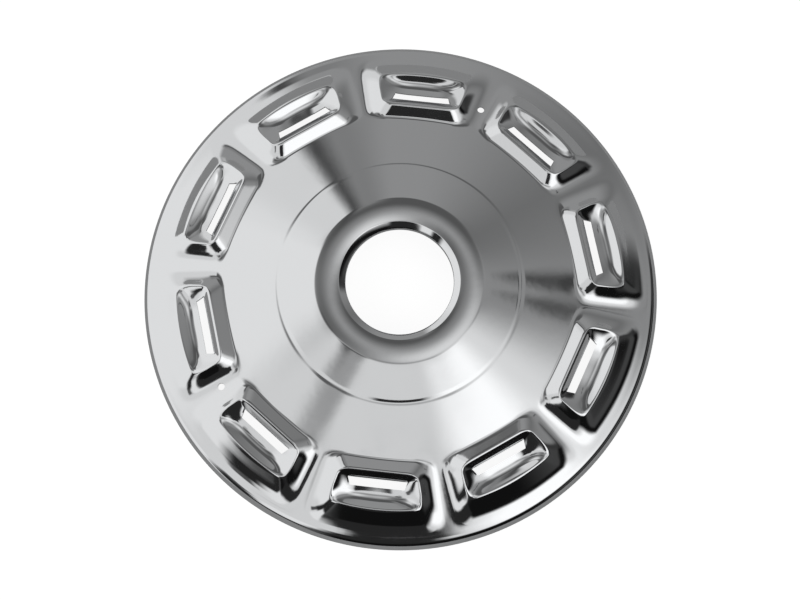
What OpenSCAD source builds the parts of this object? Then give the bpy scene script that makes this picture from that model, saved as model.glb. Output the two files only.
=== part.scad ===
// Axle hub cover: a chromed cover pressed from one disc of sheet steel.
// A straight cone rises from a rolled rim to a rounded crown with a hole in its middle,
// and a ring of raised air vents, each a pad with a scooped pocket and a slot, stands on it.
// Millimetres. Origin: centre of the rim's lowest face, +Z up through the hole.

/* [Cover] */
// Outside diameter over the rim
outside_d = 186; // [176:1:200]
// Thickness of the sheet metal
sheet = 0.9; // [0.6:0.1:1.2]
// Slope of the cone above level, in degrees
cone_slope = 16; // [12:0.5:18]
// Outside radius of the rolled rim
rim_roll_r = 4.2; // [3:0.1:5]
// Height of the upright edge left below the rolled rim
rim_edge_h = 0.4; // [0.2:0.1:2]

/* [Centre] */
// Radius of the clear hole
hole_r = 19.2; // [17:0.1:21]
// Height of the upright collar round the hole
collar_h = 1.8; // [1.2:0.1:3]
// Width of the sloping lip round the hole
lip_w = 2.4; // [1.8:0.1:3]
// Slope of the lip down into the hole, in degrees
lip_slope = 36; // [28:1:50]
// Radius of the rounded crown, seen in section
crown_r = 30; // [20:0.5:40]
// Slope of the crown where it leaves the cone, in degrees
crown_edge_slope = 8; // [4:0.5:11]
// Slope of the crown where it turns down to the lip, in degrees
crown_turn = 8; // [4:0.5:12]

/* [Groove] */
// Radius of the fine groove pressed round the cone, at its bottom
groove_r = 43.3; // [38:0.1:52]
// Width of the groove
groove_w = 3.2; // [2:0.1:5]
// Depth of the groove
groove_depth = 0.05; // [0.03:0.01:0.2]

/* [Vent pads] */
// Number of vents round the cover
vent_count = 10; // [8:1:10]
// Height of a vent's pad above the cone
pad_h = 3.3; // [3.1:0.1:4.1]
// Width of the plain band between the pads and the rim's outer edge
rim_band = 6.8; // [5.5:0.1:9]
// Distance from the foot of a pad's curved outer wall inwards to its straight inner crest
pad_reach = 19.4; // [18.4:0.1:20.4]
// Distance from the inner crest inwards to the foot of the ramp that climbs to it
ramp_run = 4.2; // [3.4:0.1:6]
// Distance from the outer wall's foot inwards to the outer crest
wall_run = 5.7; // [4.5:0.1:7]
// Half the width of a pad across its inner crest
pad_in_half = 13.9; // [12.8:0.1:14.6]
// Angle at which a pad's sides spread apart outwards, each from the pad's middle, in degrees
side_flare = 14; // [11:0.5:16]
// Distance from a side crest out to the foot of its wall
side_run = 3.6; // [2.8:0.1:4.2]

/* [Vent pockets] */
// Width of the crest left round a pocket
crest_w = 0.6; // [0.4:0.1:1.2]
// Slope of a pocket's ends, in degrees
pocket_end_slope = 42; // [38:1:56]
// Slope of the short wall between the inner crest and the slot, in degrees
pocket_in_slope = 38; // [34:1:50]
// Slope of the scooped floor above level where it climbs to the outer crest, in degrees
scoop_slope = 30; // [24:1:36]
// Radius of the bend at the foot of that climb
scoop_r = 4.5; // [3:0.1:6]
// Depth of the scooped floor below the pad's top
scoop_depth = 3; // [2.4:0.1:3.1]
// Distance from the inner crest to the slot
slot_gap = 2.7; // [2.3:0.1:3.2]
// Width of the slot, measured away from the axis
slot_w = 2.9; // [2:0.1:3.5]
// Half the length of the slot along its inner edge
slot_in_half = 10.6; // [8:0.1:11]
// Half the length of the slot along its outer edge
slot_out_half = 9.7; // [7:0.1:10]

/* [Hidden] */
$fn = 180;
arc_steps = 8;
overrun = 0.5 * sheet;
cavity_reach = 4 * sheet;

edge_r = outside_d / 2;
cone_drop = sheet / cos(cone_slope);
roll_end_r = edge_r - rim_roll_r * (1 - sin(cone_slope));
roll_end_z = rim_edge_h + rim_roll_r * cos(cone_slope);
roll_mid_r = edge_r - rim_roll_r;

lip_top_r = hole_r + lip_w;
crown_mid_r = lip_top_r + crown_r * sin(crown_turn);
crown_end_r = crown_mid_r + crown_r * sin(crown_edge_slope);
crown_mid_z = cone_z(crown_end_r) - crown_r * cos(crown_edge_slope);
lip_top_z = crown_mid_z + crown_r * cos(crown_turn);
lip_end_z = lip_top_z - lip_w * tan(lip_slope);
collar_low_z = lip_end_z - collar_h;
collar_back_z = lip_top_z - (lip_w - sheet) * tan(lip_slope) - sheet / cos(lip_slope);
crown_back_turn = lip_slope
    - acos((crown_r * cos(lip_slope - crown_turn) - sheet) / (crown_r - sheet));

pad_out_r = edge_r - rim_band;
crest_out_r = pad_out_r - wall_run;
crest_in_x = pad_out_r - pad_reach;
side_angle = atan(pad_h / side_run);
ramp_angle = atan(pad_h / ramp_run);
wall_angle = atan(pad_h / wall_run);
slot_x = crest_in_x + slot_gap;

// Height of the cone's top face at a distance from the axis
function cone_z(r) = roll_end_z + (roll_end_r - r) * tan(cone_slope);

// Points of an arc from angle a to angle b, both measured from +Z towards +X
function arc(mid_r, mid_z, radius, a, b) =
    [for (i = [0 : arc_steps]) let (t = a + (b - a) * i / arc_steps)
        [mid_r + radius * sin(t), mid_z + radius * cos(t)]];

// Points of the fine groove from its outer to its inner edge, at a drop below the cone
function groove(drop) =
    [for (side = [1, 0, -1]) let (r = groove_r + side * groove_w / 2)
        [r, cone_z(r) - drop - (1 - abs(side)) * groove_depth]];

// The sheet's section: its top face from rim to hole, then its underside back to the rim
function cover_section() = concat(
    [[edge_r, 0]],
    arc(roll_mid_r, rim_edge_h, rim_roll_r, 90, cone_slope),
    groove(0),
    arc(crown_mid_r, crown_mid_z, crown_r, crown_edge_slope, -crown_turn),
    [[hole_r, lip_end_z], [hole_r, collar_low_z],
     [hole_r + sheet, collar_low_z], [hole_r + sheet, collar_back_z]],
    arc(crown_mid_r, crown_mid_z, crown_r - sheet, -crown_back_turn, crown_edge_slope),
    [for (p = [2, 1, 0]) groove(cone_drop)[p]],
    arc(roll_mid_r, rim_edge_h, rim_roll_r - sheet, cone_slope, 90),
    [[edge_r - sheet, 0]]);

// Half the width across a pad's side crests at a distance from the axis
function crest_half(x) = pad_in_half + (x - crest_in_x) * tan(side_flare);

// Half the width of a pad at a height above the cone, its walls set in by skin
function pad_half(x, h, skin) =
    crest_half(x) + side_run * (1 - h / pad_h) - skin / sin(side_angle);

// Where the ramp is at a height above the cone, set in by skin
function ramp_x(h, skin) = crest_in_x - ramp_run * (1 - h / pad_h) + skin / sin(ramp_angle);

// Half the width of a pocket at a height above the cone, its walls set out by skin
function pocket_half(x, h, skin) =
    crest_half(x) - crest_w - (pad_h - h) / tan(pocket_end_slope)
    + skin / sin(pocket_end_slope);

// Where a pocket's inner wall is at a height above the cone, set out by skin
function pocket_x(h, skin) =
    crest_in_x + crest_w + (pad_h - h) / tan(pocket_in_slope) - skin / sin(pocket_in_slope);

// One corner of a block, at a distance x, half width w and height h above the cone
function corner(x, w, h) = [x, w, cone_z(x) + h];

// The four corners of a block at one height, from its inner left one round
function ring_of(x_in, x_out, w_in, w_out, h) =
    [corner(x_in, -w_in, h), corner(x_out, -w_out, h),
     corner(x_out, w_out, h), corner(x_in, w_in, h)];

// A block with flat sides between two rings of four corners
module block(low, high) {
    polyhedron(
        points = concat(low, high),
        faces = [[0, 1, 2, 3], [7, 6, 5, 4], [0, 4, 5, 1], [1, 5, 6, 2], [2, 6, 7, 3], [3, 7, 4, 0]]);
}

// What lies inside a pad's curved outer wall, its face set in by skin
module inside_outer_wall(low, high, skin) {
    function wall_r(h) = pad_out_r - wall_run * h / pad_h - skin / sin(wall_angle);
    rotate_extrude()
        polygon([[0, 0],
            [wall_r(low), cone_z(wall_r(low)) + low],
            [wall_r(high), cone_z(wall_r(high)) + high],
            [0, cone_z(0) + high]]);
}

// The raised form of one pad on +X, its faces set in by skin and its foot sunk into the cone
module pad_form(low, skin) {
    high = pad_h - skin;
    intersection() {
        block(
            ring_of(ramp_x(low, skin), edge_r,
                pad_half(ramp_x(low, skin), low, skin), pad_half(edge_r, low, skin), low),
            ring_of(ramp_x(high, skin), edge_r,
                pad_half(ramp_x(high, skin), high, skin), pad_half(edge_r, high, skin), high));
        inside_outer_wall(low, high, skin);
    }
}

// A ring-shaped channel with the scooped floor's section, its floor set out by skin
module scoop_channel(skin) {
    rim_r = crest_out_r - crest_w;
    bend_r = scoop_r + skin;
    mid_r = rim_r - (scoop_depth + scoop_r / cos(scoop_slope) - scoop_r / cos(cone_slope))
        / (tan(scoop_slope) + tan(cone_slope));
    mid_z = cone_z(mid_r) + pad_h - scoop_depth + scoop_r / cos(cone_slope);
    rotate_extrude()
        polygon(concat(
            [[0, mid_z + mid_r * tan(cone_slope) - bend_r / cos(cone_slope)]],
            arc(mid_r, mid_z, bend_r, 180 + cone_slope, 180 - scoop_slope),
            [[edge_r, mid_z + (edge_r - mid_r) * tan(scoop_slope) - bend_r / cos(scoop_slope)],
             [0, cone_z(0) + pad_h]]));
}

// The hollow of one pocket on +X, its faces set out by skin
module pocket_form(skin) {
    low = pad_h - scoop_depth - skin - overrun;
    high = pad_h + overrun;
    intersection() {
        block(
            ring_of(pocket_x(low, skin), edge_r,
                pocket_half(pocket_x(low, skin), low, skin), pocket_half(edge_r, low, skin), low),
            ring_of(pocket_x(high, skin), edge_r,
                pocket_half(pocket_x(high, skin), high, skin), pocket_half(edge_r, high, skin), high));
        scoop_channel(skin);
    }
}

// The hollow under one pad on +X, which leaves the sheet's thickness all round
module pad_cavity() {
    difference() {
        pad_form(-cavity_reach, sheet);
        pocket_form(sheet);
    }
}

// The slot through one pocket on +X
module slot_cut() {
    linear_extrude(height = cone_z(crest_in_x) + pad_h)
        polygon([[slot_x, -slot_in_half], [slot_x + slot_w, -slot_out_half],
            [slot_x + slot_w, slot_out_half], [slot_x, slot_in_half]]);
}

// Copies a vent's shape round the cover
module round_the_cover() {
    for (i = [0 : vent_count - 1]) rotate([0, 0, i * 360 / vent_count]) children();
}

module hub_cover() {
    color("silver")
    difference() {
        union() {
            rotate_extrude() polygon(cover_section());
            round_the_cover() pad_form(-overrun, 0);
        }
        round_the_cover() pocket_form(0);
        round_the_cover() pad_cavity();
        round_the_cover() slot_cut();
    }
}

hub_cover();
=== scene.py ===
"""Looks for a chromed, vented axle hub cover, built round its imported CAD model.

The cover is one pressed sheet. One tenth of it, a sector with a single vent, is worked out
as a fine closed mesh with rounded bends. Geometry Nodes turn that sector into the ring, weld
it, give it the faint ripples of real pressed steel, and pierce two small holes through it.
All lengths are in metres.
"""
import logging
import math
from dataclasses import dataclass

import bpy
import numpy as np
from mathutils import Matrix, Vector


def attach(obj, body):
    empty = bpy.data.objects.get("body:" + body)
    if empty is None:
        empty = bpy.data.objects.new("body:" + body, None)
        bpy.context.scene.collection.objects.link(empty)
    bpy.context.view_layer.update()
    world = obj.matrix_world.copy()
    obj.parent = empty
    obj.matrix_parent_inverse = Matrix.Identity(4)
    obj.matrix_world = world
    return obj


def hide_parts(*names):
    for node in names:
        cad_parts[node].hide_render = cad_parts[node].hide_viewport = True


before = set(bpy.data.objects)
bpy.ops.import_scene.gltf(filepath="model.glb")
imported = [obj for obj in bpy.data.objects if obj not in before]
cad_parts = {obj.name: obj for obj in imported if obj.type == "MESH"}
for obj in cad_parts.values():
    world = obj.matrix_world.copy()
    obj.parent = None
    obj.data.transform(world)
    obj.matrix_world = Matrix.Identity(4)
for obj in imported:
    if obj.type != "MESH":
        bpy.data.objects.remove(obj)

LOG = logging.getLogger("hub_cover")
MM = 0.001
SHARP_BEND = math.radians(48)


def smooth_min(a: np.ndarray, b: np.ndarray, blend: float) -> np.ndarray:
    """Lower of two heights, rounded where they cross.

    Args:
        a: Heights of the first face.
        b: Heights of the second face.
        blend: Difference in height within which the two run into each other.

    Returns:
        The rounded lower envelope.
    """
    near = np.clip(blend - np.abs(a - b), 0.0, None) / blend
    return np.minimum(a, b) - near * near * blend / 4


def smooth_max(a: np.ndarray, b: np.ndarray, blend: float) -> np.ndarray:
    """Higher of two heights, rounded where they cross.

    Args:
        a: Heights of the first face.
        b: Heights of the second face.
        blend: Difference in height within which the two run into each other.

    Returns:
        The rounded upper envelope.
    """
    return -smooth_min(-a, -b, blend)


def blend_of(faces: list[np.ndarray], blends: list[float], reach: float) -> np.ndarray:
    """Blend that fits the lowest of some faces, passing softly from one to the next.

    Args:
        faces: Heights of the faces.
        blends: The blend that each face asks for.
        reach: Difference in height over which one face's blend gives way to another's.

    Returns:
        The blend at each place.
    """
    low = np.minimum.reduce(faces)
    shares = [np.exp(-(face - low) / reach) for face in faces]
    return sum(w * b for w, b in zip(shares, blends)) / sum(shares)


def tilt_stretch(*slopes: float) -> float:
    """How much deeper than the sheet a face has to drop to keep the sheet's thickness."""
    return math.sqrt(1 + sum(s * s for s in slopes))


@dataclass
class DomeSizes:
    """Sizes of the cover's plain dome, from its rolled rim to its hole."""

    edge_r: float = 93 * MM
    sheet: float = 0.9 * MM
    cone_slope: float = math.radians(16)
    rim_roll_r: float = 4.2 * MM
    rim_edge_h: float = 0.4 * MM
    hole_r: float = 19.2 * MM
    collar_h: float = 1.8 * MM
    lip_w: float = 2.4 * MM
    lip_slope: float = math.radians(36)
    crown_r: float = 30 * MM
    crown_edge_slope: float = math.radians(8)
    crown_turn: float = math.radians(8)
    groove_r: float = 43.3 * MM
    groove_w: float = 2.2 * MM
    groove_depth: float = 0.055 * MM
    crown_round: float = 7 * MM
    lip_round: float = 0.7 * MM
    hole_round: float = 0.35 * MM
    crown_points: tuple[int, int, int] = (5, 10, 4)
    collar_points: int = 4
    under_points: tuple[int, int] = (3, 5)


@dataclass
class VentSizes:
    """Sizes of one raised vent, its scooped pocket and its slot."""

    count: int = 10
    pad_h: float = 3.3 * MM
    rim_band: float = 6.8 * MM
    pad_reach: float = 19.4 * MM
    ramp_run: float = 4.2 * MM
    wall_run: float = 5.7 * MM
    pad_in_half: float = 13.9 * MM
    side_flare: float = math.radians(14)
    side_run: float = 3.6 * MM
    crest_w: float = 0.6 * MM
    pocket_in_slope: float = math.radians(38)
    scoop_slope: float = math.radians(30)
    scoop_r: float = 4.5 * MM
    scoop_depth: float = 3.0 * MM
    slot_gap: float = 2.7 * MM
    slot_w: float = 2.9 * MM
    pad_blend: float = 0.5 * MM
    hip_blend: float = 4.0 * MM
    ramp_foot_blend: float = 0.5 * MM
    side_foot_blend: float = 2.4 * MM
    wall_foot_blend: float = 1.4 * MM
    foot_reach: float = 1.2 * MM
    bowl_run: float = 14.0 * MM
    bowl_power: float = 3.0
    pocket_blend: float = 1.0 * MM
    crest_blend: float = 0.45 * MM


class Dome:
    """The cover's plain section, turned about its axis."""

    def __init__(self, sizes: DomeSizes) -> None:
        """Works out where the section's arcs and straights meet.

        Args:
            sizes: The dome's driving sizes.
        """
        s = self.sizes = sizes
        self.fall = math.tan(s.cone_slope)
        self.roll_mid_r = s.edge_r - s.rim_roll_r
        self.roll_end_r = self.roll_mid_r + s.rim_roll_r * math.sin(s.cone_slope)
        self.roll_end_z = s.rim_edge_h + s.rim_roll_r * math.cos(s.cone_slope)
        self.lip_top_r = s.hole_r + s.lip_w
        self.crown_end_r = self.lip_top_r + s.crown_r * (math.sin(s.crown_turn)
                                                         + math.sin(s.crown_edge_slope))

    def cone(self, r: np.ndarray) -> np.ndarray:
        """Height of the cone's top face at a distance from the axis."""
        return self.roll_end_z + (self.roll_end_r - r) * self.fall

    def plain(self, r: float) -> float:
        """Height of the cone with its fine groove at a distance from the axis."""
        s = self.sizes
        off = min(1.0, abs(r - s.groove_r) / (s.groove_w / 2))
        return float(self.cone(r)) - s.groove_depth * (1 + math.cos(math.pi * off)) / 2

    def arc(self, mid: tuple[float, float], radius: float, first: float, last: float,
            count: int) -> list[tuple[float, float]]:
        """Points of an arc in the section.

        Args:
            mid: The arc's centre, as distance from the axis and height.
            radius: The arc's radius.
            first: Angle of the first point, from upright towards the rim.
            last: Angle of the last point.
            count: How many points.

        Returns:
            The points, as distance from the axis and height.
        """
        return [(mid[0] + radius * math.sin(a), mid[1] + radius * math.cos(a))
                for a in np.linspace(first, last, count)]

    def roll(self, skin: float, count: int) -> list[tuple[float, float]]:
        """The rolled rim's arc from upright to the cone, set in by skin."""
        mid = (self.roll_mid_r, self.sizes.rim_edge_h)
        return self.arc(mid, self.sizes.rim_roll_r - skin, math.pi / 2,
                        self.sizes.cone_slope, count)

    def follow(self, start: tuple[float, float],
               bends: list[tuple[float, float, float, int]]) -> list[tuple[float, float]]:
        """Points of arcs that run into each other without a corner.

        Args:
            start: Where the first arc begins.
            bends: Radius, first angle, last angle and number of points of each arc.

        Returns:
            The points, from the start on.
        """
        points = [start]
        for radius, first, last, count in bends:
            r, z = points[-1]
            mid = (r - radius * math.sin(first), z - radius * math.cos(first))
            points += self.arc(mid, radius, first, last, count)[1:]
        return points

    def crown_start(self) -> tuple[float, float, float]:
        """Bend that is tangent to both the cone and the crown's arc.

        Returns:
            Where the bend leaves the cone, as distance from the axis and height, and the
            slope at which it meets the crown's arc.
        """
        s = self.sizes
        turn = s.cone_slope - s.crown_edge_slope
        half = s.crown_r * math.sin(turn)
        back = half - math.sqrt(half * half - 2 * s.crown_round * s.crown_r
                                * (1 - math.cos(turn)))
        across = (s.crown_r * math.sin(s.crown_edge_slope) + back * math.cos(s.cone_slope)
                  - s.crown_round * math.sin(s.cone_slope))
        r = self.crown_end_r + back * math.cos(s.cone_slope)
        return r, float(self.cone(r)), math.asin(across / (s.crown_r - s.crown_round))

    def crown_top(self) -> list[tuple[float, float]]:
        """Top face from the cone over the crown and the lip to the top of the collar."""
        s = self.sizes
        start_r, start_z, first = self.crown_start()
        points = self.follow((start_r, start_z), [
            (s.crown_round, s.cone_slope, first, s.crown_points[0]),
            (s.crown_r, first, -s.crown_turn, s.crown_points[1]),
            (s.lip_round, -s.crown_turn, -s.lip_slope, s.crown_points[2])])
        r, z = points[-1]
        low_r = s.hole_r + s.hole_round * (1 - math.sin(s.lip_slope))
        low_z = z - (r - low_r) * math.tan(s.lip_slope)
        points.append(((r + low_r) / 2, (z + low_z) / 2))
        return points + self.follow((low_r, low_z), [
            (s.hole_round, -s.lip_slope, -math.pi / 2, s.collar_points)])

    def crown_under(self) -> list[tuple[float, float]]:
        """Underside from the cone under the crown to the back of the collar."""
        s = self.sizes
        r, z, first = self.crown_start()
        r, z = r - s.sheet * math.sin(s.cone_slope), z - s.sheet * math.cos(s.cone_slope)
        turn = s.lip_slope - math.acos(
            (s.crown_r * math.cos(s.lip_slope - s.crown_turn) - s.sheet) / (s.crown_r - s.sheet))
        points = self.follow((r, z), [
            (s.crown_round - s.sheet, s.cone_slope, first, s.under_points[0]),
            (s.crown_r - s.sheet, first, -turn, s.under_points[1])])
        r, z = points[-1]
        edge = s.hole_r + s.sheet
        return points + [(edge, z - (r - edge) * math.tan(s.lip_slope))]


class Vent:
    """The raised pad on +X with its pocket, as heights over the plan."""

    def __init__(self, sizes: VentSizes, dome: Dome) -> None:
        """Works out the pad's and the pocket's places.

        Args:
            sizes: The vent's driving sizes.
            dome: The dome that the vent stands on.
        """
        s = self.sizes = sizes
        self.dome = dome
        self.pad_out_r = dome.sizes.edge_r - s.rim_band
        self.crest_out_r = self.pad_out_r - s.wall_run
        self.crest_in_x = self.pad_out_r - s.pad_reach
        self.slot_x = self.crest_in_x + s.slot_gap
        self.flare = math.tan(s.side_flare)
        self.scoop_out_r = self.crest_out_r - s.crest_w

    def crest_half(self, x: np.ndarray) -> np.ndarray:
        """Half the width across the pad's side crests at a distance along the vent."""
        return self.sizes.pad_in_half + (x - self.crest_in_x) * self.flare

    def pad(self, x: np.ndarray, y: np.ndarray, skin: float) -> tuple[np.ndarray, np.ndarray]:
        """Heights of the raised pad, its bends rounded, and the blend of its foot.

        Args:
            x: Places along the vent, from the axis.
            y: Places across the vent.
            skin: How far the face lies under the top face.

        Returns:
            The pad's heights, and the blend with which it should run into the cone.
        """
        s, fall = self.sizes, self.dome.fall
        level = self.dome.cone(x) + s.pad_h
        rise, drop = s.pad_h / s.ramp_run, s.pad_h / s.wall_run
        side_drop = s.pad_h / s.side_run
        r = np.hypot(x, y)
        top = level - skin * tilt_stretch(fall)
        ramp = level + (x - self.crest_in_x) * rise - skin * tilt_stretch(rise - fall)
        side = (level - (np.abs(y) - self.crest_half(x)) * side_drop
                - skin * tilt_stretch(side_drop, fall - self.flare * side_drop))
        wall = self.dome.cone(r) + (self.pad_out_r - r) * drop - skin * tilt_stretch(fall + drop)
        sides = smooth_min(smooth_min(side, wall, s.hip_blend), ramp, s.hip_blend)
        foot = blend_of([ramp, side, wall],
                        [s.ramp_foot_blend, s.side_foot_blend, s.wall_foot_blend], s.foot_reach)
        return smooth_min(top, sides, s.pad_blend), foot

    def scoop(self, r: np.ndarray, skin: float) -> np.ndarray:
        """Heights of the scooped floor, which follows the cone and then climbs outwards.

        Args:
            r: Distances from the axis.
            skin: How far the face lies under the top face.

        Returns:
            The floor's heights.
        """
        s, fall = self.sizes, self.dome.fall
        climb = math.tan(s.scoop_slope)
        floor = self.dome.cone(r) + s.pad_h - s.scoop_depth - skin * tilt_stretch(fall)
        wall = (self.dome.cone(self.scoop_out_r) + s.pad_h - (self.scoop_out_r - r) * climb
                - skin * tilt_stretch(climb))
        return smooth_max(floor, wall, (s.scoop_r + skin) * (climb + fall) ** 2 / 2)

    def pocket(self, x: np.ndarray, y: np.ndarray, skin: float) -> np.ndarray:
        """Heights of the pocket sunk into the pad, a bowl that rises softly to its two ends.

        Args:
            x: Places along the vent, from the axis.
            y: Places across the vent.
            skin: How far the face lies under the top face.

        Returns:
            The pocket's heights.
        """
        s, fall = self.sizes, self.dome.fall
        r = np.hypot(x, y)
        level = self.dome.cone(x) + s.pad_h
        in_drop = math.tan(s.pocket_in_slope)
        inner = (level - (x - self.crest_in_x - s.crest_w) * in_drop
                 - skin * tilt_stretch(fall + in_drop))
        past = 1 - (self.crest_half(x) - s.crest_w - np.abs(y)) / s.bowl_run
        end = np.clip(past, 0.0, None) ** s.bowl_power
        scoop = self.scoop(r, skin)
        depth = self.dome.cone(r) + s.pad_h - skin * tilt_stretch(fall) - scoop
        steep = s.scoop_depth * s.bowl_power / s.bowl_run
        bowl = (scoop + np.clip(depth, 0.0, None) * end
                - skin * np.clip(end, 0.0, 1.0) * (tilt_stretch(fall, steep) - tilt_stretch(fall)))
        return smooth_max(inner, bowl, s.pocket_blend)

    def surface(self, x: np.ndarray, y: np.ndarray, skin: float = 0.0) -> np.ndarray:
        """Heights of cone, pad and pocket together.

        Args:
            x: Places along the vent, from the axis.
            y: Places across the vent.
            skin: How far the face lies under the top face.

        Returns:
            The sheet's heights there.
        """
        s = self.sizes
        plain = self.dome.cone(np.hypot(x, y)) - skin * tilt_stretch(self.dome.fall)
        pad, foot = self.pad(x, y, skin)
        raised = smooth_max(plain, pad, foot)
        return smooth_min(raised, self.pocket(x, y, skin), s.crest_blend)


@dataclass
class Row:
    """One line of points across a sector, at one place along the section."""

    r: float
    z: float | None = None
    skin: float = 0.0


@dataclass
class SectorGrid:
    """Where the sector's mesh lines run. Places are in millimetres and degrees, as chosen.

    The slot's two ends lie at slot_angle from the vent's middle line, at the distances from
    the axis in slot_angle_at.
    """

    roll_rows: int = 9
    under_roll_rows: int = 5
    top_out: tuple = (89.0, 88.1)
    top_vent_out: tuple = ((87.4, 84.4, 7), (83.8, 82.0, 3), (81.4, 79.0, 12), (78.5, 73.0, 9))
    top_vent_in: tuple = ((69.1, 67.9, 4), (67.7, 66.0, 9), (65.4, 63.6, 3), (63.2, 61.6, 7),
                          (60.8, 57.4, 3))
    top_dome: tuple = (54.5, 49.5, 46.0, 44.7, 44.4, 44.1, 43.85, 43.57, 43.3, 43.03, 42.75,
                       42.5, 42.2, 41.9, 40.6, 36.5, 33.0)
    under_dome: tuple = (34.0, 42.2, 42.7, 43.3, 43.9, 44.4, 56.0)
    under_vent_in: tuple = (60.0, 61.8, 63.4, 65.2, 66.8, 68.2)
    under_vent_out: tuple = (74.4, 76.4, 78.0, 79.4, 80.6, 82.0, 84.0, 86.2, 88.4)
    slot_columns: int = 8
    end_shares: tuple = (0.0, 0.16, 0.32, 0.48, 0.64, 0.8, 0.92)
    crest_offsets: tuple = (-0.5, -0.34, -0.2, -0.07, 0.07, 0.2, 0.34, 0.5, 0.75)
    side_shares: tuple = (0.12, 0.25, 0.37, 0.49, 0.61, 0.73, 0.86, 1.0)
    edge_angle: float = 18.0
    slot_angle_at: tuple = (60.0, 67.4, 69.5, 72.4, 76.0, 80.0)
    slot_angle: tuple = (8.2, 8.7, 8.672, 7.631, 7.7, 7.9)
    straight_from: tuple = (57.0, 61.5)
    straight_to: tuple = (72.4, 80.5)


def ease(low: float, high: float, value: np.ndarray) -> np.ndarray:
    """Smooth share from 0 at low to 1 at high."""
    share = np.clip((value - low) / (high - low), 0.0, 1.0)
    return share * share * (3 - 2 * share)


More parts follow.
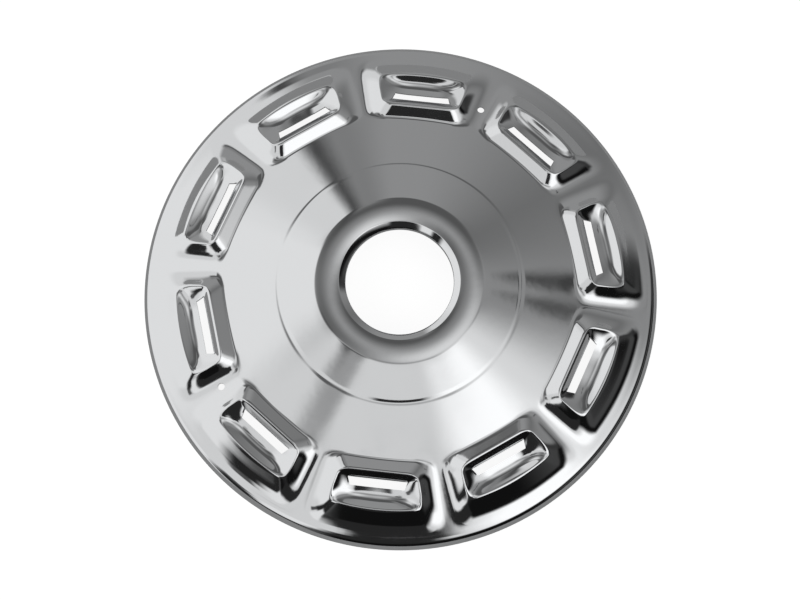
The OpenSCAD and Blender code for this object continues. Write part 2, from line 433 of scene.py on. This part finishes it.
class PressedCover:
    """The cover's pressed sheet, worked out as one sector's mesh with its vent and its slot."""

    def __init__(self, dome: Dome, vent: Vent, grid: SectorGrid) -> None:
        """Keeps the shapes that the mesh follows.

        Args:
            dome: The plain section.
            vent: The raised vent.
            grid: Where the mesh lines run.
        """
        self.dome, self.vent, self.grid = dome, vent, grid

    def columns(self, r: float) -> np.ndarray:
        """Angles of the mesh's columns on one row, which follow the slot's ends and the crests.

        Args:
            r: The row's distance from the axis, on the vent's middle line.

        Returns:
            Angles from the vent's middle line, in radians, from one side to the other.
        """
        g = self.grid
        end = float(np.interp(r / MM, g.slot_angle_at, g.slot_angle))
        reach = np.clip(r, self.vent.crest_in_x - self.vent.sizes.ramp_run, self.vent.pad_out_r)
        crest = math.degrees(math.atan2(
            self.vent.crest_half(reach) - self.vent.sizes.crest_w / 2, reach))
        band = crest + np.array(g.crest_offsets)
        half = np.concatenate([
            np.linspace(0.0, end, g.slot_columns + 1)[:-1],
            end + (band[0] - end) * np.array(g.end_shares), band,
            band[-1] + (g.edge_angle - band[-1]) * np.array(g.side_shares)])
        return np.radians(np.concatenate([-half[:0:-1], half]))

    def row_points(self, row: Row) -> np.ndarray:
        """Points of one row, from one side of the sector to the other.

        Args:
            row: The row's place.

        Returns:
            An array of points, one for each column.
        """
        g = self.grid
        angle = self.columns(row.r)
        straight = (ease(g.straight_from[0], g.straight_from[1], row.r / MM)
                    * (1 - ease(g.straight_to[0], g.straight_to[1], row.r / MM)))
        if row.z is not None:
            straight = 0.0
        r = row.r / ((1 - straight) + straight * np.cos(angle))
        x, y = r * np.cos(angle), r * np.sin(angle)
        z = self.vent.surface(x, y, row.skin) if row.z is None else np.full_like(x, row.z)
        return np.stack([x, y, z], axis=1)

    def top_rows(self) -> list[Row]:
        """Rows of the top face, from the rim's lower edge in to the collar's."""
        d, g, s = self.dome, self.grid, self.dome.sizes
        out = [x for a, b, n in g.top_vent_out for x in np.linspace(a, b, n)]
        inward = [x for a, b, n in g.top_vent_in for x in np.linspace(a, b, n)]
        slot = [self.vent.slot_x + self.vent.sizes.slot_w, self.vent.slot_x]
        rows = [Row(s.edge_r, 0.0)]
        rows += [Row(r, z) for r, z in d.roll(0.0, g.roll_rows)]
        rows += [Row(r * MM, float(d.cone(r * MM))) for r in g.top_out]
        rows += [Row(r * MM) for r in out] + [Row(x) for x in slot]
        rows += [Row(r * MM) for r in inward]
        rows += [Row(r * MM, d.plain(r * MM)) for r in g.top_dome]
        rows += [Row(r, z) for r, z in d.crown_top()]
        return rows + [Row(s.hole_r, rows[-1].z - s.collar_h)]

    def under_rows(self, low_z: float) -> list[Row]:
        """Rows of the underside, from the collar's lower edge out to the rim's.

        Args:
            low_z: Height of the collar's lower edge.

        Returns:
            The rows, in order.
        """
        d, g, s = self.dome, self.grid, self.dome.sizes
        drop = s.sheet / math.cos(s.cone_slope)
        rows = [Row(s.hole_r + s.sheet, low_z)]
        rows += [Row(r, z) for r, z in reversed(d.crown_under())]
        rows += [Row(r * MM, d.plain(r * MM) - drop) for r in g.under_dome]
        slot = [self.vent.slot_x, self.vent.slot_x + self.vent.sizes.slot_w]
        rows += [Row(r * MM, None, s.sheet) for r in g.under_vent_in]
        rows += [Row(x, None, s.sheet) for x in slot]
        rows += [Row(r * MM, None, s.sheet) for r in g.under_vent_out]
        rows += [Row(r, z) for r, z in reversed(d.roll(s.sheet, g.under_roll_rows))]
        return rows + [Row(s.edge_r - s.sheet, 0.0)]

    def sector(self) -> bpy.types.Object:
        """Builds the closed mesh of one sector with its vent and its slot.

        Returns:
            The sector's object, open only along its two sides.
        """
        top = self.top_rows()
        rows = top + self.under_rows(top[-1].z)
        points = np.stack([self.row_points(row) for row in rows])
        count, width = points.shape[:2]
        slot_at = (self.vent.slot_x, self.vent.slot_x + self.vent.sizes.slot_w)
        slot_lines = [i for i, row in enumerate(rows) if row.z is None and row.r in slot_at]
        top_out, top_in, under_in, under_out = slot_lines
        middle, reach = width // 2, self.grid.slot_columns
        left, right = middle - reach, middle + reach

        def at(row: int, column: int) -> int:
            """Number of the vertex in that row and column."""
            return (row % count) * width + column

        faces = []
        for i in range(count):
            for j in range(width - 1):
                if i in (top_out, under_in) and left <= j < right:
                    continue
                faces.append((at(i, j), at(i, j + 1), at(i + 1, j + 1), at(i + 1, j)))
        for j in range(left, right):
            faces.append((at(top_out, j), at(top_out, j + 1),
                          at(under_out, j + 1), at(under_out, j)))
            faces.append((at(top_in, j + 1), at(top_in, j),
                          at(under_in, j), at(under_in, j + 1)))
        faces.append((at(top_out, right), at(top_in, right),
                      at(under_in, right), at(under_out, right)))
        faces.append((at(top_in, left), at(top_out, left),
                      at(under_out, left), at(under_in, left)))
        mesh = bpy.data.meshes.new("cover_sector")
        mesh.from_pydata(points.reshape(-1, 3).tolist(), [], faces)
        mesh.update()
        sector = bpy.data.objects.new("cover_sector", mesh)
        bpy.context.scene.collection.objects.link(sector)
        return sector


@dataclass
class PierceSizes:
    """The two small round holes pierced through the sheet between vents."""

    count: int = 2
    radius: float = 1.25 * MM
    ring_r: float = 72.9 * MM
    first: float = math.radians(54.4)
    step: float = math.radians(143.4)
    sides: int = 24
    reach: float = 40 * MM


@dataclass
class RippleSizes:
    """The faint unevenness that pressing leaves in the sheet."""

    depth: float = 0.05 * MM
    length: float = 22 * MM
    detail: float = 1.0
    inner_r: float = 32 * MM
    outer_r: float = 90 * MM
    edge: float = 3 * MM
    weld: float = 0.005 * MM


class CoverTree:
    """Geometry Nodes that turn the sector into the whole ring."""

    def __init__(self) -> None:
        """Starts the tree with its named inputs and its one output."""
        self.tree = bpy.data.node_groups.new("ring_of_vents", "GeometryNodeTree")
        self.inputs: dict[str, str] = {}
        self._socket("Sector", "NodeSocketGeometry")
        for name, kind in (("Vents", "NodeSocketInt"), ("Weld", "NodeSocketFloat"),
                           ("Ripple depth", "NodeSocketFloat"),
                           ("Ripple length", "NodeSocketFloat"),
                           ("Ripple inner", "NodeSocketFloat"),
                           ("Ripple outer", "NodeSocketFloat"),
                           ("Ripple edge", "NodeSocketFloat"),
                           ("Holes", "NodeSocketInt"), ("Hole sides", "NodeSocketInt"),
                           ("Hole radius", "NodeSocketFloat"),
                           ("Hole reach", "NodeSocketFloat"),
                           ("Hole ring", "NodeSocketFloat"), ("Hole first", "NodeSocketFloat"),
                           ("Hole step", "NodeSocketFloat"),
                           ("Finish", "NodeSocketMaterial")):
            self._socket(name, kind)
        self.tree.interface.new_socket("Cover", in_out="OUTPUT", socket_type="NodeSocketGeometry")
        self.start = self.tree.nodes.new("NodeGroupInput")
        self._build()

    def _socket(self, name: str, kind: str) -> None:
        """Adds a named input and keeps its identifier."""
        socket = self.tree.interface.new_socket(name, in_out="INPUT", socket_type=kind)
        self.inputs[name] = socket.identifier

    def _node(self, kind: str, **settings: object) -> bpy.types.Node:
        """Adds a node with the given settings."""
        node = self.tree.nodes.new(kind)
        for key, value in settings.items():
            setattr(node, key, value)
        return node

    def _link(self, source: object, target: object) -> None:
        """Joins two sockets."""
        self.tree.links.new(source, target)

    def _math(self, operation: str, first: object, second: object) -> object:
        """Adds a math node.

        Args:
            operation: The node's operation.
            first: A socket or a number.
            second: A socket or a number.

        Returns:
            The node's output socket.
        """
        node = self._node("ShaderNodeMath", operation=operation)
        for slot, value in ((0, first), (1, second)):
            if isinstance(value, (int, float)):
                node.inputs[slot].default_value = value
            else:
                self._link(value, node.inputs[slot])
        return node.outputs[0]

    def _build(self) -> None:
        """Lays out the nodes, from the turned copies to the finish."""
        given = {name: self.start.outputs[name] for name in self.inputs}
        turn = self._math("DIVIDE", math.tau, given["Vents"])
        ring = self._ring(given["Sector"], given["Vents"], 0.0, turn)
        weld = self._node("GeometryNodeMergeByDistance")
        self._link(ring, weld.inputs["Geometry"])
        self._link(given["Weld"], weld.inputs["Distance"])
        moved = self._node("GeometryNodeSetPosition")
        self._link(weld.outputs["Geometry"], moved.inputs["Geometry"])
        self._link(self._ripple(given), moved.inputs["Offset"])
        pierced = self._node("GeometryNodeMeshBoolean", operation="DIFFERENCE", solver="MANIFOLD")
        self._link(moved.outputs["Geometry"], pierced.inputs["Mesh 1"])
        self._link(self._punches(given), pierced.inputs["Mesh 2"])
        real = self._node("GeometryNodeRealizeInstances")
        self._link(pierced.outputs["Mesh"], real.inputs["Geometry"])
        finish = self._node("GeometryNodeSetMaterial")
        self._link(real.outputs["Geometry"], finish.inputs["Geometry"])
        self._link(given["Finish"], finish.inputs["Material"])
        end = self._node("NodeGroupOutput")
        self._link(finish.outputs["Geometry"], end.inputs["Cover"])

    def _ring(self, piece: object, count: object, first: object, step: object) -> object:
        """Copies of a piece turned about the axis.

        Args:
            piece: The piece's geometry.
            count: How many copies.
            first: The first copy's angle.
            step: The angle from one copy to the next.

        Returns:
            A geometry socket with the copies made real.
        """
        line = self._node("GeometryNodeMeshLine")
        self._link(count, line.inputs["Count"])
        line.inputs["Offset"].default_value = (0.0, 0.0, 0.0)
        index = self._node("GeometryNodeInputIndex")
        angle = self._math("ADD", self._math("MULTIPLY", index.outputs[0], step), first)
        euler = self._node("ShaderNodeCombineXYZ")
        self._link(angle, euler.inputs["Z"])
        rotation = self._node("FunctionNodeEulerToRotation")
        self._link(euler.outputs[0], rotation.inputs[0])
        copies = self._node("GeometryNodeInstanceOnPoints")
        self._link(line.outputs["Mesh"], copies.inputs["Points"])
        self._link(piece, copies.inputs["Instance"])
        self._link(rotation.outputs[0], copies.inputs["Rotation"])
        real = self._node("GeometryNodeRealizeInstances")
        self._link(copies.outputs["Instances"], real.inputs["Geometry"])
        return real.outputs["Geometry"]

    def _punches(self, given: dict[str, object]) -> object:
        """Upright rods that pierce the small holes.

        Args:
            given: The tree's inputs by name.

        Returns:
            A geometry socket.
        """
        rod = self._node("GeometryNodeMeshCylinder")
        self._link(given["Hole sides"], rod.inputs["Vertices"])
        self._link(given["Hole radius"], rod.inputs["Radius"])
        self._link(given["Hole reach"], rod.inputs["Depth"])
        place = self._node("ShaderNodeCombineXYZ")
        self._link(given["Hole ring"], place.inputs["X"])
        moved = self._node("GeometryNodeTransform")
        self._link(rod.outputs["Mesh"], moved.inputs["Geometry"])
        self._link(place.outputs[0], moved.inputs["Translation"])
        return self._ring(moved.outputs["Geometry"], given["Holes"], given["Hole first"],
                          given["Hole step"])

    def _ripple(self, given: dict[str, object]) -> object:
        """Upward offset that ripples the dome and leaves its rim and crown as they are.

        Args:
            given: The tree's inputs by name.

        Returns:
            A vector socket.
        """
        place = self._node("GeometryNodeInputPosition")
        flat = self._node("ShaderNodeVectorMath", operation="MULTIPLY")
        self._link(place.outputs[0], flat.inputs[0])
        flat.inputs[1].default_value = (1.0, 1.0, 0.0)
        noise = self._node("ShaderNodeTexNoise")
        self._link(flat.outputs[0], noise.inputs["Vector"])
        self._link(self._math("DIVIDE", 1.0, given["Ripple length"]), noise.inputs["Scale"])
        noise.inputs["Detail"].default_value = RippleSizes.detail
        swing = self._math("SUBTRACT", noise.outputs[0], 0.5)
        radius = self._node("ShaderNodeVectorMath", operation="LENGTH")
        self._link(flat.outputs[0], radius.inputs[0])
        far = radius.outputs["Value"]
        masks = []
        for low, high in ((given["Ripple inner"], True), (given["Ripple outer"], False)):
            fade = self._node("ShaderNodeMapRange", interpolation_type="SMOOTHSTEP")
            other = self._math("ADD" if high else "SUBTRACT", low, given["Ripple edge"])
            self._link(far, fade.inputs["Value"])
            self._link(low, fade.inputs["From Min"])
            self._link(other, fade.inputs["From Max"])
            masks.append(fade.outputs[0])
        depth = self._math("MULTIPLY", swing, given["Ripple depth"])
        depth = self._math("MULTIPLY", depth, self._math("MULTIPLY", masks[0], masks[1]))
        offset = self._node("ShaderNodeCombineXYZ")
        self._link(depth, offset.inputs["Z"])
        return offset.outputs[0]


@dataclass(frozen=True)
class Chrome:
    """Bright chrome plate over steel, almost a mirror."""

    colour: tuple[float, float, float] = (0.80, 0.81, 0.82)
    polished: float = 0.045
    hazed: float = 0.10
    haze_scale: float = 60.0
    haze_detail: float = 4.0
    haze_from: float = 0.35
    haze_to: float = 0.75
    ripple_scale: float = 160.0
    ripple_detail: float = 2.0
    ripple_height: float = 0.000012

    def material(self) -> bpy.types.Material:
        """Makes the chrome's material, with a slightly uneven polish."""
        made = bpy.data.materials.new("chrome_plate")
        made.use_nodes = True
        nodes, links = made.node_tree.nodes, made.node_tree.links
        shader = nodes["Principled BSDF"]
        shader.inputs["Base Color"].default_value = (*self.colour, 1.0)
        shader.inputs["Metallic"].default_value = 1.0
        place = nodes.new("ShaderNodeTexCoord")
        haze = nodes.new("ShaderNodeTexNoise")
        haze.inputs["Scale"].default_value = self.haze_scale
        haze.inputs["Detail"].default_value = self.haze_detail
        links.new(place.outputs["Object"], haze.inputs["Vector"])
        spread = nodes.new("ShaderNodeMapRange")
        links.new(haze.outputs[0], spread.inputs["Value"])
        spread.inputs["From Min"].default_value = self.haze_from
        spread.inputs["From Max"].default_value = self.haze_to
        spread.inputs["To Min"].default_value = self.polished
        spread.inputs["To Max"].default_value = self.hazed
        links.new(spread.outputs[0], shader.inputs["Roughness"])
        fine = nodes.new("ShaderNodeTexNoise")
        fine.inputs["Scale"].default_value = self.ripple_scale
        fine.inputs["Detail"].default_value = self.ripple_detail
        links.new(place.outputs["Object"], fine.inputs["Vector"])
        bump = nodes.new("ShaderNodeBump")
        bump.inputs["Distance"].default_value = self.ripple_height
        links.new(fine.outputs[0], bump.inputs["Height"])
        links.new(bump.outputs[0], shader.inputs["Normal"])
        return made


@dataclass(frozen=True)
class Card:
    """A soft-edged panel of the studio round the cover, seen only as a reflection.

    Bearings run clockwise from the picture's right, and tilts down from overhead, in degrees.
    """

    bearing: float
    half_width: float
    near: float
    far: float
    light: float
    side_soft: float = 6.0
    edge_soft: float = 3.0


@dataclass(frozen=True)
class Spot:
    """A soft-edged round patch of the studio overhead, placed as a card is."""

    bearing: float
    tilt: float
    radius: float
    light: float
    soft: float = 2.0


@dataclass(frozen=True)
class PaleFloor:
    """Plain pale floor, and how bright it shows by itself to each kind of ray."""

    half_side: float = 3.0
    drop: float = 0.02 * MM
    shade: float = 0.36
    seen: float = 0.9
    mirrored: float = 0.1
    seen_through: float = 0.9


@dataclass
class StudioView:
    """Where the camera stands and how it is turned, and how the studio is laid out."""

    azimuth: float = math.radians(-98.42)
    elevation: float = math.radians(77.71)
    roll: float = math.radians(-3.3)
    distance: float = 0.6997
    aim: tuple[float, float, float] = (-0.000587, -0.002419, 0.0)
    lens: float = 86.7
    sensor: float = 36.0
    clip_start: float = 0.01
    clip_end: float = 20.0
    plain_light: float = 0.29
    right_azimuth: float = math.radians(-11.64)


def studio_cards() -> list[Card | Spot]:
    """The studio's panels, from the back of the pile to the front."""
    return [
        Spot(bearing=-4, tilt=7, radius=9, light=0.80, soft=8),
        Spot(bearing=-153, tilt=14, radius=7, light=0.14, soft=7),
        Spot(bearing=-176, tilt=20, radius=5, light=0.08, soft=5),
        Card(bearing=-91, half_width=45, near=18, far=60, light=0.10, side_soft=20, edge_soft=6),
        Card(bearing=-75, half_width=45, near=42, far=130, light=0.31, side_soft=6,
             edge_soft=2.5),
        Card(bearing=-48, half_width=15, near=36, far=130, light=0.17, side_soft=22, edge_soft=6),
        Card(bearing=-127, half_width=14, near=41, far=130, light=0.76, side_soft=5, edge_soft=2),
        Card(bearing=-176, half_width=41, near=30, far=130, light=0.88, side_soft=7, edge_soft=4),
        Card(bearing=-105, half_width=5, near=88, far=108, light=0.62, side_soft=2.5, edge_soft=3),
        Card(bearing=-105, half_width=6, near=28, far=62, light=0.235, side_soft=6, edge_soft=5),
        Card(bearing=-113, half_width=3, near=24, far=62, light=0.07, side_soft=3, edge_soft=6),
        Card(bearing=112, half_width=55, near=17, far=60, light=0.74, side_soft=10, edge_soft=5),
        Spot(bearing=145, tilt=21, radius=5.8, light=0.11, soft=2),
        Card(bearing=24, half_width=20, near=14, far=56, light=0.82, side_soft=14, edge_soft=6),
        Card(bearing=46, half_width=19, near=22, far=56, light=1.22, side_soft=9, edge_soft=5),
        Card(bearing=-21, half_width=4, near=37, far=39.5, light=0.05, side_soft=3, edge_soft=0.8),
        Card(bearing=-12, half_width=3.5, near=35.0, far=37.4, light=0.06, side_soft=2.5,
             edge_soft=0.8),
        Card(bearing=-17, half_width=6, near=60, far=130, light=0.06, side_soft=5, edge_soft=3),
        Card(bearing=137, half_width=6, near=22, far=29, light=0.36, side_soft=4, edge_soft=3),
        Card(bearing=50, half_width=66, near=54, far=130, light=0.006, side_soft=8, edge_soft=6),
        Card(bearing=16, half_width=30, near=68, far=82, light=0.06, side_soft=9, edge_soft=4),
        Card(bearing=91.5, half_width=18, near=25.6, far=35, light=0.022, side_soft=4,
             edge_soft=0.8),
        Card(bearing=96, half_width=18, near=34, far=64, light=0.022, side_soft=4, edge_soft=0.8),
        Card(bearing=142, half_width=5, near=42, far=58, light=0.09, side_soft=2, edge_soft=2),
        Card(bearing=131, half_width=16, near=54, far=80, light=0.02, side_soft=4, edge_soft=3),
        Card(bearing=125, half_width=8, near=38, far=66, light=0.88, side_soft=3, edge_soft=3),
    ]


class Studio:
    """World, floor and camera round the cover."""

    def __init__(self, view: StudioView, ground: PaleFloor) -> None:
        """Keeps the layout.

        Args:
            view: Where the camera stands and how the studio is laid out.
            ground: The floor's size and finish.
        """
        self.view, self.ground = view, ground

    def camera(self) -> bpy.types.Object:
        """Sets the camera at the picture's viewing angle."""
        v = self.view
        back = Vector((math.cos(v.azimuth) * math.cos(v.elevation),
                       math.sin(v.azimuth) * math.cos(v.elevation), math.sin(v.elevation)))
        level = (-back).cross(Vector((0.0, 0.0, 1.0))).normalized()
        upward = level.cross(-back)
        right = level * math.cos(v.roll) + upward * math.sin(v.roll)
        up = upward * math.cos(v.roll) - level * math.sin(v.roll)
        lens = bpy.data.cameras.new("camera")
        lens.lens, lens.sensor_width = v.lens, v.sensor
        lens.clip_start, lens.clip_end = v.clip_start, v.clip_end
        camera = bpy.data.objects.new("camera", lens)
        bpy.context.scene.collection.objects.link(camera)
        turned = Matrix((right, up, back)).transposed().to_4x4()
        camera.matrix_world = Matrix.Translation(Vector(v.aim) + back * v.distance) @ turned
        bpy.context.scene.camera = camera
        return camera

    def floor(self) -> bpy.types.Object:
        """Lays the plain pale floor that the cover stands on."""
        mesh = bpy.data.meshes.new("floor")
        side, low = self.ground.half_side, -self.ground.drop
        mesh.from_pydata([(-side, -side, low), (side, -side, low), (side, side, low),
                          (-side, side, low)], [], [(0, 1, 2, 3)])
        floor = bpy.data.objects.new("floor", mesh)
        bpy.context.scene.collection.objects.link(floor)
        pale = bpy.data.materials.new("pale_floor")
        pale.use_nodes = True
        nodes, links = pale.node_tree.nodes, pale.node_tree.links
        nodes.clear()
        path = nodes.new("ShaderNodeLightPath")
        matt = nodes.new("ShaderNodeBsdfDiffuse")
        matt.inputs["Color"].default_value = (*(self.ground.shade,) * 3, 1.0)
        glow = nodes.new("ShaderNodeEmission")
        glow.inputs["Color"].default_value = (1.0, 1.0, 1.0, 1.0)
        shown = self._share(nodes, links, path)
        links.new(shown, glow.inputs["Strength"])
        both = nodes.new("ShaderNodeAddShader")
        links.new(matt.outputs[0], both.inputs[0])
        links.new(glow.outputs[0], both.inputs[1])
        out = nodes.new("ShaderNodeOutputMaterial")
        links.new(both.outputs[0], out.inputs["Surface"])
        mesh.materials.append(pale)
        return floor

    def _share(self, nodes: bpy.types.Nodes, links: bpy.types.NodeLinks,
               path: bpy.types.Node) -> bpy.types.NodeSocket:
        """How brightly the floor shows to the camera, and in metal that mirrors it.

        Args:
            nodes: The floor material's nodes.
            links: The floor material's links.
            path: Its Light Path node.

        Returns:
            A socket with the floor's own brightness.
        """
        total = None
        for ray, bright in (("Is Camera Ray", self.ground.seen),
                            ("Is Glossy Ray", self.ground.mirrored),
                            ("Is Transmission Ray", self.ground.seen_through)):
            part = nodes.new("ShaderNodeMath")
            part.operation = "MULTIPLY_ADD"
            links.new(path.outputs[ray], part.inputs[0])
            part.inputs[1].default_value = bright
            if total is not None:
                links.new(total, part.inputs[2])
            else:
                part.inputs[2].default_value = 0.0
            total = part.outputs[0]
        return total

    def world(self) -> None:
        """Hangs the studio's panels round the cover, before a plain white background."""
        world = bpy.data.worlds.new("studio")
        world.use_nodes = True
        bpy.context.scene.world = world
        tree = SurroundTree(world.node_tree, self.view.right_azimuth)
        tree.build(studio_cards(), self.view.plain_light)


class SurroundTree:
    """World nodes that mix the studio's panels by direction."""

    def __init__(self, tree: bpy.types.NodeTree, right_azimuth: float) -> None:
        """Starts the tree with a direction's bearing and tilt.

        Args:
            tree: The world's node tree.
            right_azimuth: Azimuth of the picture's right, in radians.
        """
        self.nodes, self.links = tree.nodes, tree.links
        self.nodes.clear()
        self.right_azimuth = right_azimuth
        place = self.nodes.new("ShaderNodeTexCoord")
        self.direction = place.outputs["Generated"]
        parts = self.nodes.new("ShaderNodeSeparateXYZ")
        self.links.new(self.direction, parts.inputs[0])
        azimuth = self.math("ARCTAN2", parts.outputs["Y"], parts.outputs["X"])
        self.bearing = self.math("SUBTRACT", right_azimuth, azimuth)
        self.tilt = self.math("ARCCOSINE", parts.outputs["Z"])

    def math(self, operation: str, *values: object) -> bpy.types.NodeSocket:
        """Adds a math node.

        Args:
            operation: The node's operation.
            values: Sockets or numbers, in the node's order.

        Returns:
            The node's output socket.
        """
        node = self.nodes.new("ShaderNodeMath")
        node.operation = operation
        for slot, value in enumerate(values):
            if isinstance(value, (int, float)):
                node.inputs[slot].default_value = value
            else:
                self.links.new(value, node.inputs[slot])
        return node.outputs[0]

    def fade(self, value: bpy.types.NodeSocket, edge: float, soft: float,
             rising: bool) -> bpy.types.NodeSocket:
        """Soft share of a panel at its edge.

        Args:
            value: The angle to test, in radians.
            edge: Where the share is a half, in degrees.
            soft: Half the width of the soft edge, in degrees.
            rising: True if the share grows with the angle.

        Returns:
            A socket from 0 to 1.
        """
        node = self.nodes.new("ShaderNodeMapRange")
        node.interpolation_type = "SMOOTHSTEP"
        self.links.new(value, node.inputs["Value"])
        low, high = math.radians(edge - soft), math.radians(edge + soft)
        node.inputs["From Min"].default_value = low
        node.inputs["From Max"].default_value = high
        node.inputs["To Min"].default_value = 0.0 if rising else 1.0
        node.inputs["To Max"].default_value = 1.0 if rising else 0.0
        return node.outputs[0]

    def share(self, panel: Card | Spot) -> bpy.types.NodeSocket:
        """How much of a panel shows in each direction.

        Args:
            panel: The card or the spot.

        Returns:
            A socket from 0 to 1.
        """
        if isinstance(panel, Spot):
            azimuth = self.right_azimuth - math.radians(panel.bearing)
            tilt = math.radians(panel.tilt)
            dot = self.nodes.new("ShaderNodeVectorMath")
            dot.operation = "DOT_PRODUCT"
            self.links.new(self.direction, dot.inputs[0])
            dot.inputs[1].default_value = (math.sin(tilt) * math.cos(azimuth),
                                           math.sin(tilt) * math.sin(azimuth), math.cos(tilt))
            away = self.math("ARCCOSINE", dot.outputs["Value"])
            return self.fade(away, panel.radius, panel.soft, False)
        turned = self.math("SUBTRACT", self.bearing, math.radians(panel.bearing))
        off = self.math("ABSOLUTE", self.math("WRAP", turned, math.pi, -math.pi))
        across = self.fade(off, panel.half_width, panel.side_soft, False)
        inner = self.fade(self.tilt, panel.near, panel.edge_soft, True)
        outer = self.fade(self.tilt, panel.far, panel.edge_soft, False)
        return self.math("MULTIPLY", across, self.math("MULTIPLY", inner, outer))

    def build(self, panels: list[Card | Spot], plain: float) -> None:
        """Mixes the panels and joins them to the world.

        Args:
            panels: The panels, from the back to the front.
            plain: Brightness where no panel hangs.
        """
        light = plain
        for panel in panels:
            mixed = self.nodes.new("ShaderNodeMix")
            mixed.data_type = "FLOAT"
            self.links.new(self.share(panel), mixed.inputs[0])
            if isinstance(light, float):
                mixed.inputs[2].default_value = light
            else:
                self.links.new(light, mixed.inputs[2])
            mixed.inputs[3].default_value = panel.light
            light = mixed.outputs[0]
        seen = self.nodes.new("ShaderNodeLightPath")
        shown = self.nodes.new("ShaderNodeMix")
        shown.data_type = "FLOAT"
        self.links.new(seen.outputs["Is Camera Ray"], shown.inputs[0])
        self.links.new(light, shown.inputs[2])
        shown.inputs[3].default_value = 1.0
        back = self.nodes.new("ShaderNodeBackground")
        back.inputs["Color"].default_value = (1.0, 1.0, 1.0, 1.0)
        self.links.new(shown.outputs[0], back.inputs["Strength"])
        out = self.nodes.new("ShaderNodeOutputWorld")
        self.links.new(back.outputs[0], out.inputs["Surface"])


def dress(sector: bpy.types.Object, vents: int, ripples: RippleSizes, holes: PierceSizes,
          finish: bpy.types.Material) -> bpy.types.Object:
    """Runs the ring tree on the sector and keeps the result as a plain mesh.

    Args:
        sector: One sector's object.
        vents: How many sectors make the ring.
        ripples: The unevenness of the sheet.
        holes: The small holes through it.
        finish: The cover's material.

    Returns:
        The finished cover's object.
    """
    ring = CoverTree()
    modifier = sector.modifiers.new("ring", "NODES")
    modifier.node_group = ring.tree
    for name, value in (("Vents", vents), ("Weld", ripples.weld),
                        ("Ripple depth", ripples.depth), ("Ripple length", ripples.length),
                        ("Ripple inner", ripples.inner_r), ("Ripple outer", ripples.outer_r),
                        ("Ripple edge", ripples.edge), ("Holes", holes.count),
                        ("Hole sides", holes.sides), ("Hole radius", holes.radius),
                        ("Hole reach", holes.reach), ("Hole ring", holes.ring_r),
                        ("Hole first", holes.first), ("Hole step", holes.step),
                        ("Finish", finish)):
        modifier[ring.inputs[name]] = value
    graph = bpy.context.evaluated_depsgraph_get()
    mesh = bpy.data.meshes.new_from_object(sector.evaluated_get(graph), depsgraph=graph)
    sector.modifiers.clear()
    bpy.data.objects.remove(sector)
    mesh.name = "pressed_cover"
    mesh.shade_smooth()
    mesh.set_sharp_from_angle(angle=SHARP_BEND)
    cover = bpy.data.objects.new("pressed_cover", mesh)
    bpy.context.scene.collection.objects.link(cover)
    return cover


def main() -> None:
    """Builds the cover and the studio, and reports each piece."""
    logging.basicConfig(level=logging.INFO, format="%(message)s")
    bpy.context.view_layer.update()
    bpy.context.scene.view_settings.view_transform = "Standard"
    dome = Dome(DomeSizes())
    vent = Vent(VentSizes(), dome)
    chrome = Chrome().material()
    sector = PressedCover(dome, vent, SectorGrid()).sector()
    cover = dress(sector, vent.sizes.count, RippleSizes(), PierceSizes(), chrome)
    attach(cover, "root")
    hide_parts("hub_cover")
    LOG.info("pressed_cover: %d vertices, %d faces", len(cover.data.vertices),
             len(cover.data.polygons))
    studio = Studio(StudioView(), PaleFloor())
    studio.world()
    studio.floor()
    studio.camera()
    LOG.info("studio: world, floor and camera")


if __name__ == "__main__":
    main()
